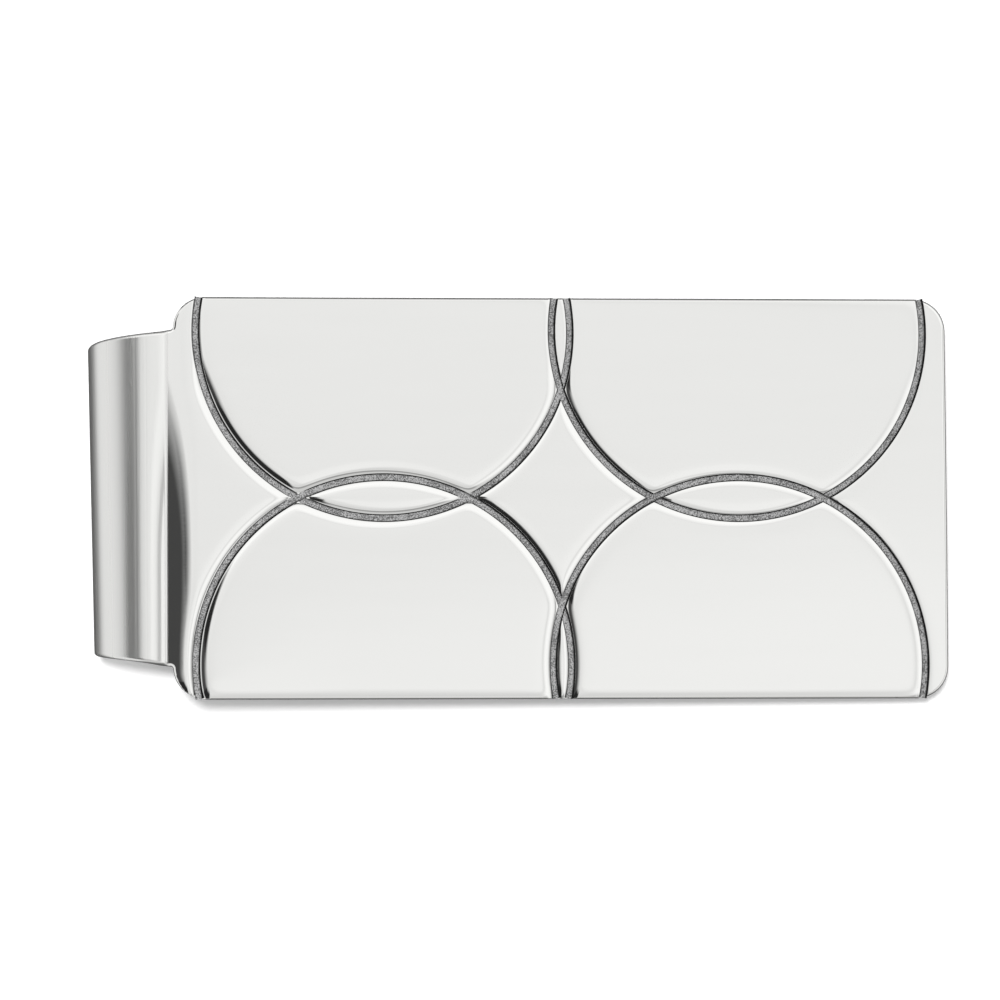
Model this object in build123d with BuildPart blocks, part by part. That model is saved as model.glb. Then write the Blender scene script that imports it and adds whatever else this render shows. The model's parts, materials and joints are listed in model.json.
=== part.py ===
from build123d import *
import os
from math import acos, asin, atan2, cos, degrees, hypot, radians, sin

# Folded money clip, in millimetres. One strip of plated brass makes the whole clip: an engraved
# face plate, a narrower neck that dips into a crease and swells into the spring fold, a back
# leaf that runs under the plate and pinches it, and a flared lip that lets the notes in.
# The strip lies as it does on a table, on the fold and on the end of its lip, so its face plate
# slopes down a little towards the open end.

# Driving dimensions
overall_length = 54.0
strip_thickness = 0.9

plate_width = 25.25
plate_corner_radius = 2.0
shoulder_inset = 0.24         # short length of neck beside the plate's shoulders
plate_edge_rounding = 0.15

roll_radius = 5.0             # the plate's end curves down softly, outer surface
crease_radius = 0.25          # sharp hollow between plate and fold, outer surface
flank_radius = 1.98           # near side of the fold, outer surface
flank_angle = 35.0
fold_upper_radius = 3.38      # upper half of the fold, outer surface
fold_lower_radius = 4.2       # lower half of the fold, outer surface

neck_width = 21.1             # where the neck leaves the plate
leaf_start_width = 17.8       # where the fold ends and the leaf begins
leaf_tip_width = 12.8
leaf_tip_corner_radius = 4.5

pinch_distance = 36.0         # from the fold's middle to where the leaf meets the plate
pinch_clearance = 0.1
knee_radius = 6.0             # inner surface of the bend at the pinch
lip_angle = 24.0
lip_length = 4.6

circle_radius = 11.77         # engraved circles, to the middle of the groove
groove_width = 0.48
groove_depth = 0.2
finish_thickness = 0.05       # dark finish lying on the groove's floor
finish_setback = 0.15         # the finish stops short of the plate's edge
pattern_from_end = 24.42      # pattern's centre, from the open end of the plate
circle_half_spacing_x = 11.19
circle_half_spacing_y = 10.48

os.makedirs("parts", exist_ok=True)

# Side view of the strip's middle line, on flat paper: X runs along the plate from the fold's
# middle, Y is the plate's upward normal. Every bend is a tangent arc.
half_thickness = strip_thickness / 2
plate_top = fold_upper_radius
plate_middle = plate_top - half_thickness
flank_centre_y = plate_top - flank_radius
roll_centre_y = plate_top - roll_radius
roll_angle = degrees(
    acos(
        (flank_centre_y - roll_centre_y + (flank_radius + crease_radius) * cos(radians(flank_angle)))
        / (roll_radius + crease_radius)
    )
)
roll_start_x = (flank_radius + crease_radius) * sin(radians(flank_angle)) + (
    roll_radius + crease_radius
) * sin(radians(roll_angle))

# The leaf's straight run touches the fold's lower arc from below and the knee's arc from above.
fold_lower_centre_x = fold_lower_radius - fold_upper_radius
fold_lower_middle_radius = fold_lower_radius - half_thickness
knee_middle_radius = knee_radius - half_thickness
pinch_middle_y = plate_top - strip_thickness - pinch_clearance - half_thickness
knee_drop = knee_middle_radius - pinch_middle_y
knee_along = pinch_distance - fold_lower_centre_x
leaf_angle = degrees(
    asin((fold_lower_middle_radius + knee_middle_radius) / hypot(knee_along, knee_drop))
    - atan2(knee_drop, knee_along)
)

with BuildLine() as bends:
    roll = JernArc((roll_start_x, plate_middle), (-1, 0), roll_radius - half_thickness, roll_angle)
    crease = JernArc(
        roll @ 1, roll % 1, crease_radius + half_thickness, -(roll_angle + flank_angle)
    )
    flank = JernArc(crease @ 1, crease % 1, flank_radius - half_thickness, flank_angle)
    fold_upper = JernArc(flank @ 1, flank % 1, fold_upper_radius - half_thickness, 90)
    fold_lower = JernArc(
        fold_upper @ 1, fold_upper % 1, fold_lower_middle_radius, 90 + leaf_angle
    )
    knee_rise_start = Vector(pinch_distance, pinch_middle_y - knee_middle_radius) + Vector(
        -sin(radians(leaf_angle)), cos(radians(leaf_angle))
    ) * knee_middle_radius
    leaf_run = Line(fold_lower @ 1, knee_rise_start)
    knee_rise = JernArc(leaf_run @ 1, leaf_run % 1, knee_middle_radius, -leaf_angle)
    knee_fall = JernArc(knee_rise @ 1, knee_rise % 1, knee_middle_radius, -lip_angle)
    lip_run = Line(knee_fall @ 1, (knee_fall @ 1) + (knee_fall % 1) * lip_length)

# The clip rests on its fold and on the lip's lower edge, and that sets how far it is tipped.
lip_edge = (lip_run @ 1) + (lip_run % 1).rotate(Axis.Z, -90) * half_thickness
lip_along = lip_edge.X - fold_lower_centre_x
rest_tilt = degrees(
    asin(fold_lower_radius / hypot(lip_along, lip_edge.Y)) + atan2(lip_edge.Y, lip_along)
)
along = cos(radians(rest_tilt))
down = sin(radians(rest_tilt))
fold_reach = fold_lower_radius - fold_lower_centre_x * along
plate_end_x = (overall_length - fold_reach - plate_top * down) / along

side_view = Plane(
    origin=(
        fold_reach - overall_length / 2,
        0,
        fold_lower_radius + fold_lower_centre_x * down,
    ),
    x_dir=(along, 0, -down),
    z_dir=(0, -1, 0),
)
face_view = Plane(
    origin=side_view.from_local_coords((0, plate_top, 0)),
    x_dir=(along, 0, -down),
    z_dir=(down, 0, along),
)
groove_floor = face_view.offset(-groove_depth)

# Plan view of the face plate, and of its engraved circles
plate_start_x = (roll @ 1).X - half_thickness * sin(radians(roll_angle))
plate_left_x = plate_start_x + shoulder_inset
pattern_centre_x = plate_end_x - pattern_from_end
circle_centres = {
    "upper_left": (pattern_centre_x - circle_half_spacing_x, circle_half_spacing_y),
    "upper_right": (pattern_centre_x + circle_half_spacing_x, circle_half_spacing_y),
    "lower_left": (pattern_centre_x - circle_half_spacing_x, -circle_half_spacing_y),
    "lower_right": (pattern_centre_x + circle_half_spacing_x, -circle_half_spacing_y),
}

with BuildLine():
    plate_run = Line((plate_end_x, plate_middle), roll @ 0)

with BuildSketch() as plate_outline:
    with Locations(((plate_left_x + plate_end_x) / 2, 0)):
        RectangleRounded(plate_end_x - plate_left_x, plate_width, plate_corner_radius)

rings = {}
for corner, centre in circle_centres.items():
    with BuildSketch() as ring:
        with Locations(centre):
            Circle(circle_radius + groove_width / 2)
            Circle(circle_radius - groove_width / 2, mode=Mode.SUBTRACT)
    rings[corner] = ring.sketch

# Face plate: the flat engraved plate, its soft roll-down and its two rounded shoulders
with BuildPart() as face_plate:
    with BuildSketch(side_view):
        trace(lines=[plate_run, roll], line_width=strip_thickness)
    extrude(amount=plate_width / 2, both=True)
    with BuildSketch(face_view):
        add(plate_outline.sketch)
        with Locations((plate_start_x, 0)):
            Rectangle(4 * shoulder_inset, neck_width)
    extrude(amount=plate_width / 2, both=True, mode=Mode.INTERSECT)
    long_edges = face_plate.edges().filter_by(GeomType.LINE).sort_by(SortBy.LENGTH)[-4:]
    fillet(long_edges, plate_edge_rounding)
    with BuildSketch(face_view):
        for ring_face in rings.values():
            add(ring_face)
    extrude(amount=-groove_depth, mode=Mode.SUBTRACT)
face_plate.part.label = "face_plate"
export_step(face_plate.part, "parts/face_plate.step")

# Dark finish in the engraved circles: each later circle is cut where it crosses an earlier one
laid = []
for corner, ring_face in rings.items():
    with BuildPart() as groove_finish:
        with BuildSketch(groove_floor):
            add(plate_outline.sketch)
            offset(amount=-finish_setback)
            add(ring_face, mode=Mode.INTERSECT)
            for earlier in laid:
                add(earlier, mode=Mode.SUBTRACT)
        extrude(amount=finish_thickness)
    groove_finish.part.label = f"groove_finish_{corner}"
    export_step(groove_finish.part, f"parts/groove_finish_{corner}.step")
    laid.append(ring_face)

# Spring fold: the crease, the near flank and the two arcs of the fold. The strip narrows evenly
# along its length, from the neck to the start of the leaf.
fold_bends = [crease, flank, fold_upper, fold_lower]
fold_path_length = sum(bend.length for bend in fold_bends)
fold_edges = [side_view.from_local_coords(bend) for bend in fold_bends]


def strip_width(distance):
    """Width of the strip at a distance along its middle line from the start of the crease."""
    return neck_width + (leaf_start_width - neck_width) * distance / fold_path_length


with BuildPart() as spring_fold:
    travelled = 0
    for edge in fold_edges:
        sections = []
        for share in (0, 1):
            station = Plane(origin=edge @ share, x_dir=(0, 1, 0), z_dir=edge % share)
            with BuildSketch(station, mode=Mode.PRIVATE) as section:
                Rectangle(strip_width(travelled + share * edge.length), strip_thickness)
            sections.append(section.sketch.face())
        sweep(sections=sections, path=edge, multisection=True)
        travelled += edge.length
spring_fold.part.label = "spring_fold"
export_step(spring_fold.part, "parts/spring_fold.step")

# Plan view of the leaf and its lip: a long taper with a rounded tip
leaf_start_x = (leaf_run @ 0).X
leaf_tip_x = (lip_run @ 1).X
with BuildSketch() as leaf_outline:
    with BuildLine():
        Polyline(
            (leaf_start_x - strip_thickness, -leaf_start_width / 2),
            (leaf_start_x, -leaf_start_width / 2),
            (leaf_tip_x, -leaf_tip_width / 2),
            (leaf_tip_x, leaf_tip_width / 2),
            (leaf_start_x, leaf_start_width / 2),
            (leaf_start_x - strip_thickness, leaf_start_width / 2),
            close=True,
        )
    make_face()
    fillet(leaf_outline.vertices().group_by(Axis.X)[-1], leaf_tip_corner_radius)

with BuildPart() as back_leaf:
    with BuildSketch(side_view):
        trace(lines=[leaf_run, knee_rise], line_width=strip_thickness)
    extrude(amount=leaf_start_width / 2, both=True)
    with BuildSketch(face_view):
        add(leaf_outline.sketch)
    extrude(amount=-2 * fold_lower_radius, mode=Mode.INTERSECT)
back_leaf.part.label = "back_leaf"
export_step(back_leaf.part, "parts/back_leaf.step")

with BuildPart() as leaf_lip:
    with BuildSketch(side_view):
        trace(lines=[knee_fall, lip_run], line_width=strip_thickness)
    extrude(amount=leaf_start_width / 2, both=True)
    with BuildSketch(face_view):
        add(leaf_outline.sketch)
    extrude(amount=-2 * fold_lower_radius, mode=Mode.INTERSECT)
leaf_lip.part.label = "leaf_lip"
export_step(leaf_lip.part, "parts/leaf_lip.step")

print("rest tilt, degrees:", round(rest_tilt, 3), " leaf angle:", round(leaf_angle, 3))
print("fold middle:", side_view.origin, " plate end:", round(plate_end_x, 3))
hinge = side_view.from_local_coords((fold_lower_centre_x / 2, 0, 0))
print("hinge:", hinge)
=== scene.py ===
import json
import math
from types import SimpleNamespace

import bpy
import numpy as np
from mathutils import Matrix, Vector
from mathutils.geometry import delaunay_2d_cdt


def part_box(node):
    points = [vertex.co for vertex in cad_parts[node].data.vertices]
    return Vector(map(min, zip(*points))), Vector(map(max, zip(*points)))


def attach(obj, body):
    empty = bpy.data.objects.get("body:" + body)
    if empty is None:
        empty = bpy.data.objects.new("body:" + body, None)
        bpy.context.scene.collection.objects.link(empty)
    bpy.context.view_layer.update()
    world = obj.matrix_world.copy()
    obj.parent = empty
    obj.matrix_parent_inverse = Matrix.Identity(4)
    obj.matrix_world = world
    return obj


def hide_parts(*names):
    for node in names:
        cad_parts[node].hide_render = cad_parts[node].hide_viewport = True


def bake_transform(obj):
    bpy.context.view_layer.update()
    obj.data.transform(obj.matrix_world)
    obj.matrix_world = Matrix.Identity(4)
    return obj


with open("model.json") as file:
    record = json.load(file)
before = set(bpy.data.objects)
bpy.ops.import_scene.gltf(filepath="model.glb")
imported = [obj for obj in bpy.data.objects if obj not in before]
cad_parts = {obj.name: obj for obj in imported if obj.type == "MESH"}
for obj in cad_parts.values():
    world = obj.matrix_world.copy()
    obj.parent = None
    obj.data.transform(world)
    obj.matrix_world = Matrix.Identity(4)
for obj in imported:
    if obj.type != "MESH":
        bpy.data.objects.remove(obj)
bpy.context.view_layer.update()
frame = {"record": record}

bl_info = {
    "name": "Engraved Money Clip",
    "version": (1, 0, 0),
    "blender": (4, 5, 0),
    "location": "View3D > Sidebar > Money Clip",
    "description": "Skins a folded spring money clip with polished plating and engraved circles",
    "category": "Object",
}

MM = 0.001
MICRON = 1e-6
SLIVER_AREA = 1e-16
PLATE_SIDE, LEAF_SIDE = "face_side", "leaf_side"
# Name of the points' attribute that carries the painted shade on the grooves' walls.
PAINTED_WALL_SHADE = "painted_wall_shade"

# Stretch of the buffing wheel's hairlines, as scales along the axes: long in X, or long in Y.
LENGTHWISE, CROSSWISE = (0.08, 1, 1), (1, 0.03, 1)
# How far past the start of the upper fold the bending tool left its marks.
FOLD_MARKS = np.array([0.0, 0.57, 0.93]) * MM
# Where the rims' softness is given, as shares of the plate's length from the fold, and the band
# across the plate in which the buffing turns crisp towards the upper edge.
SOFTNESS_AT = (0.25, 0.55, 1.0)
CRISP_BAND = (6 * MM, 9 * MM)
# How squarely an edge faces the corner beside the fold where the plate's fall there begins and
# where it is whole, and how far past the inner corner the fall grows.
CORNER_FACING = (0.35, 0.95)
CORNER_GROWTH = 2.2 * MM
# How far below and above the hinge the fold's bending is spread.
# that much higher in each circle than in the one before, so that no two are level.
FINISH_GAP, FINISH_SUNK, FINISH_LAYER = 0.015 * MM, 0.02 * MM, 0.003 * MM
# Distances of the mesh's rows from the plate's outline, close together on the rounded edge.
EDGE_STEPS = np.array([0, 0.015, 0.04, 0.08, 0.12, 0.17, 0.21, 0.25, 0.4, 0.7]) * MM
# Distances of the mesh's rows from the middle of a groove, from its floor to its soft sweep.
GROOVE_STEPS = MM * np.array(
    [0.165, 0.19, 0.215, 0.24, 0.255, 0.275, 0.30, 0.33]
    + [0.37, 0.42, 0.49, 0.58, 0.7, 0.9, 1.2, 1.6]
)


# ---- Sizes and colours ----


def size(name, description, millimetres):
    """A length property whose default is given in millimetres."""
    return bpy.props.FloatProperty(
        name=name, description=description, default=millimetres * MM, unit="LENGTH", precision=6
    )


def turn(name, description, degrees):
    """An angle property whose default is given in degrees."""
    return bpy.props.FloatProperty(
        name=name, description=description, default=math.radians(degrees), unit="ROTATION"
    )


def number(name, description, default):
    """A number property with no unit."""
    return bpy.props.FloatProperty(name=name, description=description, default=default)


def to_linear(hex_colour):
    """sRGB hex to linear RGB: the usual curve, with its straight toe below 0.04045."""
    channels = np.array([int(hex_colour[i : i + 2], 16) / 255 for i in (1, 3, 5)])
    curved = ((channels + 0.055) / 1.055) ** 2.4
    return tuple(np.where(channels <= 0.04045, channels / 12.92, curved))


def colour(name, description, hex_colour):
    """A colour property whose default is given as sRGB hex."""
    return bpy.props.FloatVectorProperty(
        name=name, description=description, default=to_linear(hex_colour), size=3, subtype="COLOR"
    )


class ClipStrip(bpy.types.PropertyGroup):
    """Sizes of the bent strip, the same as the solid model's"""

    thickness: size("Thickness", "Thickness of the strip", 0.9)
    plate_width: size("Plate width", "Width of the face plate", 25.25)
    plate_corner: size("Plate corner", "Corner radius of the face plate", 2.0)
    shoulder_inset: size("Shoulder inset", "Length of neck beside the plate's shoulders", 0.24)
    shoulder_fillet: size("Shoulder fillet", "Inner corner between neck and shoulder", 0.2)
    edge_rounding: size("Edge rounding", "Radius buffed onto every long edge", 0.25)
    tip_rounding: size("Tip rounding", "Radius buffed onto the leaf's end", 0.2)
    plate_crown: size("Plate crown", "Rise of the plate's middle over its long edges", 0.15)
    roll_radius: size("Roll radius", "Soft roll-down at the plate's end", 5.0)
    crease_radius: size("Crease radius", "Hollow between plate and fold", 0.25)
    flank_radius: size("Flank radius", "Near side of the fold", 1.98)
    flank_angle: turn("Flank angle", "Turn of the fold's near side", 35.0)
    fold_upper: size("Upper fold radius", "Upper half of the fold", 3.38)
    fold_lower: size("Lower fold radius", "Lower half of the fold", 4.2)
    neck_width: size("Neck width", "Width where the neck leaves the plate", 21.1)
    leaf_start_width: size("Leaf start", "Width where the leaf begins", 17.8)
    leaf_tip_width: size("Leaf tip", "Width at the leaf's tip", 12.8)
    leaf_corner: size("Leaf corner", "Corner radius of the leaf's tip", 4.5)
    pinch_distance: size("Pinch distance", "From fold to pinch", 36.0)
    pinch_clearance: size("Pinch clearance", "Gap between leaf and plate", 0.1)
    knee_radius: size("Knee radius", "Bend at the pinch", 6.0)
    lip_angle: turn("Lip angle", "How far the lip flares", 24.0)
    lip_length: size("Lip length", "Straight part of the lip", 4.6)
    corner_slope: number("Corner slope", "Extra fall of the plate at the shoulders' corners", 0.34)
    corner_reach: size("Corner reach", "How far in that fall reaches", 0.45)
    corner_upper: number("Upper corner", "Share of that fall at the upper corner", 0.3)
    mark_depth: size("Mark depth", "Depth of the bending tool's marks across the fold", 0.0035)
    mark_width: size("Mark width", "Half width of those marks", 0.045)
    crease_left: number("Crease left", "Share of the crease's depth left at its shallow end", 0.24)
    crease_fade_start: size("Fade start", "Where across the neck the crease gets shallower", -4.0)
    crease_fade_end: size("Fade end", "Where across the neck it is shallowest", 8.0)
    fold_skew: number("Fold skew", "How far out of square the fold was bent", 0.0207)


class ClipEngraving(bpy.types.PropertyGroup):
    """Sizes of the four engraved circles"""

    circle_radius: size("Circle radius", "To the middle of the groove", 11.77)
    groove_width: size("Groove width", "Between the groove's rims", 0.48)
    floor_width: size("Floor width", "Flat floor of the groove", 0.33)
    groove_depth: size("Groove depth", "From the plate's face", 0.2)
    pattern_from_end: size("Pattern place", "Pattern's centre from the open end", 24.42)
    half_spacing_x: size("Half spacing, length", "Circle centres along the clip", 11.19)
    half_spacing_y: size("Half spacing, width", "Circle centres across the clip", 10.48)
    rim_slope: number("Rim slope", "Slope buffed onto the groove's rim", 0.5)
    rim_reach: size("Rim reach", "How far the steep part of the rim reaches", 0.2)
    sweep_slope: number("Sweep slope", "Slope of the soft sweep outside the rim", 0.10)
    sweep_reach: size("Sweep reach", "How far the soft sweep reaches", 0.35)
    soft_left: number("Softness, fold end", "Buffing of the rims nearest the fold", 1.12)
    soft_middle: number("Softness, middle", "Buffing of the rims halfway along", 0.7)
    soft_right: number("Softness, open end", "Buffing of the rims nearest the open end", 0.3)
    crisp_upper: number("Crispness, upper edge", "Buffing the upper rims went without", 0.75)
    finish_width: size("Finish width", "Width of the dark finish in the groove", 0.47)
    finish_height: size("Finish height", "Film of dark finish over the groove's metal", 0.012)
    grain_height: size("Grain height", "Roughness of the dark finish", 0.009)


class ClipFinish(bpy.types.PropertyGroup):
    """Colours of the finishes"""

    plating: colour("Plating", "Bright white metal plating", "#F4F4F2")
    groove: colour("Groove finish", "Lightest grains of the dark antique finish", "#AEAEAE")
    groove_dark: colour("Groove shade", "Darkest grains of the finish", "#5A5A5A")
    # Near-black colour of the painted shade on the grooves' walls.
    wall_shade_colour: colour("Groove wall", "Thick finish on the groove's walls", "#080808")
    floor: colour("Floor", "Plain pale floor", "#FFFFFF")


class ClipStage(bpy.types.PropertyGroup):
    """Camera, floor and light"""

    camera_distance: size("Camera distance", "From the plate's face", 400.0)
    camera_lean: turn("Camera lean", "Lean of the view towards the clip's lower edge", 4.5)
    camera_roll: turn("Camera roll", "Turn of the camera about its view", -0.33)
    view_width: size("View width", "Width of the view at the plate", 62.81)
    view_x: size("View X", "Where the view's middle meets the plate", -1.24)
    view_y: size("View Y", "Where the view's middle meets the plate", -0.13)
    floor_size: size("Floor size", "Side of the floor", 3000.0)
    light_size: size("Light size", "Across the round light overhead", 110.0)
    light_power: number("Light power", "Watts of the light overhead", 6.2)


# ---- The strip's shape ----


def arc_step(run, curve, heading):
    """Where an arc of that length and curvature ends, from where it starts. With no curvature it
    is a straight step; otherwise the difference of sines and cosines over the curvature."""
    straight = np.abs(curve) < 1e-9
    bend = np.where(straight, 1.0, curve)
    end = heading + run * curve
    x = np.where(straight, run * np.cos(heading), (np.sin(end) - np.sin(heading)) / bend)
    y = np.where(straight, run * np.sin(heading), (np.cos(heading) - np.cos(end)) / bend)
    return np.stack([x, y], -1)


def strip_shape(strip):
    """The strip's middle line as a chain of straight runs and tangent arcs, seen from the side.

    X runs along the plate from the middle of the fold, Y is the plate's upward normal, and the
    line starts at the plate's open end. Angles come from circles that touch: the crease's arc
    touches the roll and the flank, and the leaf's straight run touches the fold and the knee."""
    half = strip.thickness / 2
    top = strip.fold_upper
    rise = strip.flank_radius + strip.crease_radius
    run = strip.roll_radius + strip.crease_radius
    drop = strip.roll_radius - strip.flank_radius + rise * math.cos(strip.flank_angle)
    roll_angle = math.acos(drop / run)
    roll_start = rise * math.sin(strip.flank_angle) + run * math.sin(roll_angle)

    fold_x = strip.fold_lower - strip.fold_upper
    fold_middle = strip.fold_lower - half
    knee_middle = strip.knee_radius - half
    pinch_y = top - strip.thickness - strip.pinch_clearance - half
    along, below = strip.pinch_distance - fold_x, knee_middle - pinch_y
    leaf_angle = math.asin((fold_middle + knee_middle) / math.hypot(along, below))
    leaf_angle -= math.atan2(below, along)
    leaf_start = (fold_x + fold_middle * math.sin(leaf_angle), -fold_middle * math.cos(leaf_angle))
    leaf_end = (
        strip.pinch_distance - knee_middle * math.sin(leaf_angle),
        pinch_y - knee_middle + knee_middle * math.cos(leaf_angle),
    )

    # The mount's normal says how far the clip is tipped, and the solids' boxes where it stands.
    normal = frame["record"]["mounts"][0]["axis"]
    tilt = math.atan2(normal[0], normal[2])
    fold_low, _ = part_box("spring_fold")
    _, plate_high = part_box("face_plate")
    origin_x = fold_low[0] + strip.fold_lower - fold_x * math.cos(tilt)
    origin_z = fold_low[2] + strip.fold_lower + fold_x * math.sin(tilt)
    plate_end = (plate_high[0] - origin_x - top * math.sin(tilt)) / math.cos(tilt)

    runs = {
        "plate": (plate_end - roll_start, 0.0),
        "roll": (roll_angle, strip.roll_radius - half),
        "crease": (-(roll_angle + strip.flank_angle), strip.crease_radius + half),
        "flank": (strip.flank_angle, strip.flank_radius - half),
        "fold_upper": (math.pi / 2, strip.fold_upper - half),
        "fold_lower": (math.pi / 2 + leaf_angle, fold_middle),
        "leaf": (math.dist(leaf_start, leaf_end), 0.0),
        "knee_rise": (-leaf_angle, knee_middle),
        "knee_fall": (-strip.lip_angle, knee_middle),
        "lip": (strip.lip_length, 0.0),
    }
    amounts, radii = np.array(list(runs.values())).T
    bent = radii > 0
    safe_radii = np.where(bent, radii, 1.0)
    lengths = np.where(bent, np.abs(amounts) * radii, amounts)
    curves = np.where(bent, np.sign(amounts) / safe_radii, 0.0)
    headings = math.pi + np.concatenate([[0.0], np.cumsum(lengths * curves)])
    steps = arc_step(lengths, curves, headings[:-1])
    corners = np.array([plate_end, top - half]) + np.concatenate([[[0, 0]], np.cumsum(steps, 0)])
    starts = np.concatenate([[0.0], np.cumsum(lengths)])
    shoulder = math.asin(math.sin(roll_angle) - strip.shoulder_inset / strip.roll_radius)
    shoulder_at = starts[1] + shoulder * (strip.roll_radius - half)
    return SimpleNamespace(
        strip=strip, half=half, top=top, tilt=tilt, origin=(origin_x, origin_z),
        plate_end=plate_end, shoulder=shoulder_at, at=dict(zip([*runs, "end"], starts)),
        starts=starts, curves=curves, headings=headings, corners=corners,
    )  # fmt: skip


def smooth_step(low, high, value):
    """0 below low, 1 above high, and three t squared less two t cubed between."""
    t = np.clip((value - low) / (high - low), 0, 1)
    return t * t * (3 - 2 * t)


def place(shape, along, across, out):
    """Points in the clip's frame, from the distance along the strip's middle line from the open
    end, the distance across the strip, and the height out of the middle line on its outer side.

    The point is the middle line's, plus the height times its outward normal. Then the crease is
    made shallower towards one side, the plate is crowned, the bending tool's marks are pressed in
    as narrow bell curves, the fold is skewed, and all is tipped."""
    strip, at = shape.strip, shape.at
    along, across, out = np.broadcast_arrays(along, across, out)
    index = np.searchsorted(shape.starts, along, side="right") - 1
    index = np.clip(index, 0, len(shape.curves) - 1)
    run, curve, heading = along - shape.starts[index], shape.curves[index], shape.headings[index]
    middle = shape.corners[index] + arc_step(run, curve, heading)
    end = heading + run * curve
    x = middle[..., 0] + out * np.sin(end)
    y = middle[..., 1] - out * np.cos(end)

    sunk = shape.top - (middle[..., 1] - shape.half * np.cos(end))
    sunk = np.where((along > at["roll"]) & (along < at["fold_upper"]), sunk, 0.0)
    fade = smooth_step(strip.crease_fade_start, strip.crease_fade_end, across)
    y = y + sunk * fade * (1 - strip.crease_left)

    crowned = 1 - smooth_step(at["roll"] - 2 * strip.roll_radius, at["flank"], along)
    y = y - strip.plate_crown * (across / (strip.plate_width / 2)) ** 2 * crowned

    for mark in FOLD_MARKS:
        far = (along - at["fold_upper"] - mark) / strip.mark_width
        dent = strip.mark_depth * np.exp(-(far**2)) * (out > 0)
        x, y = x - dent * np.sin(end), y + dent * np.cos(end)

    skewed = smooth_step(at["crease"], at["fold_lower"], along)
    skewed = skewed * (1 - smooth_step(at["fold_lower"], at["leaf"], along))
    x = x - strip.fold_skew * across * skewed

    c, s = math.cos(shape.tilt), math.sin(shape.tilt)
    return np.stack([shape.origin[0] + x * c + y * s, across, shape.origin[1] - x * s + y * c], -1)


def axes_at(shape, along, across, out):
    """Unit vectors along the strip, across it and out of it at each point, from the differences
    of the place function over two micrometres."""
    reach = MICRON
    ahead = place(shape, along + reach, across, out) - place(shape, along - reach, across, out)
    aside = place(shape, along, across + reach, out) - place(shape, along, across - reach, out)
    ahead /= np.linalg.norm(ahead, axis=-1, keepdims=True)
    outward = np.cross(aside, ahead)
    outward /= np.linalg.norm(outward, axis=-1, keepdims=True)
    return ahead, np.cross(ahead, outward), outward


def fold_half_width(shape, along):
    """Half the strip's width from crease to leaf: it narrows in proportion to the length."""
    strip, at = shape.strip, shape.at
    widths = (strip.neck_width / 2, strip.leaf_start_width / 2)
    return np.interp(along, (at["crease"], at["leaf"]), widths)


# ---- Meshes ----


def make_piece(name, points, faces, material, normals=None, sharp=math.radians(40)):
    """A mesh object at the origin, shaded smooth. Its corners take the given outward normals,
    one for each point, or Blender's own with edges sharper than the limit left sharp."""
    mesh = bpy.data.meshes.new(name)
    mesh.from_pydata(points.reshape(-1, 3).tolist(), [], faces)
    mesh.shade_smooth()
    if normals is None:
        mesh.set_sharp_from_angle(angle=sharp)
    else:
        mesh.normals_split_custom_set_from_vertices(normals.reshape(-1, 3).tolist())
    mesh.materials.append(material)
    mesh.update()
    piece = bpy.data.objects.new(name, mesh)
    bpy.context.collection.objects.link(piece)
    return piece


def tube_faces(rings, around):
    """Faces of a closed tube of that many rings with that many points in each: four neighbouring
    points make a face, and the first and last ring are each one flat face."""
    i, j = np.meshgrid(np.arange(rings - 1), np.arange(around), indexing="ij")
    k = (j + 1) % around
    here, ahead = i * around, (i + 1) * around
    quads = np.stack([here + j, ahead + j, ahead + k, here + k], -1)
    ring = np.arange(around)
    ends = [ring.tolist(), (ring[::-1] + (rings - 1) * around).tolist()]
    return quads.reshape(-1, 4).tolist() + ends


def section(corner_steps, flat_steps):
    """Shares for the points round a strip's section, as four rows: across and out of the flat
    part, and across and out of the corner's radius. The corners are quarter circles, and the
    second half of the section is the first half turned round."""
    quarter = np.linspace(0, math.pi / 2, corner_steps + 1)
    flat = np.linspace(1, -1, flat_steps + 1)[1:-1]
    near, far, still = np.ones_like(quarter), -np.ones_like(quarter), np.ones_like(flat)
    flat_across = np.concatenate([near, flat, far])
    flat_out = np.ones_like(flat_across)
    round_across = np.concatenate([np.cos(quarter), 0 * flat, -np.sin(quarter)])
    round_out = np.concatenate([np.sin(quarter), still, np.cos(quarter)])
    first = np.stack([flat_across, flat_out, round_across, round_out])
    return np.concatenate([first, -first], 1)


def strip_tube(shape, along, half_width, inset, shares):
    """Points of a length of strip: at each distance along it, the section's shares times the
    half width and half thickness that are left inside the edge rounding."""
    half = shape.half - inset
    rounding = np.minimum(shape.strip.edge_rounding, half)[:, None]
    half, half_width = half[:, None], (half_width - inset)[:, None]
    flat_across, flat_out, round_across, round_out = shares
    across = flat_across * (half_width - rounding) + round_across * rounding
    out = flat_out * (half - rounding) + round_out * rounding
    return place(shape, along[:, None], across, out), across, out


# ---- The engraved plate ----


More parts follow.
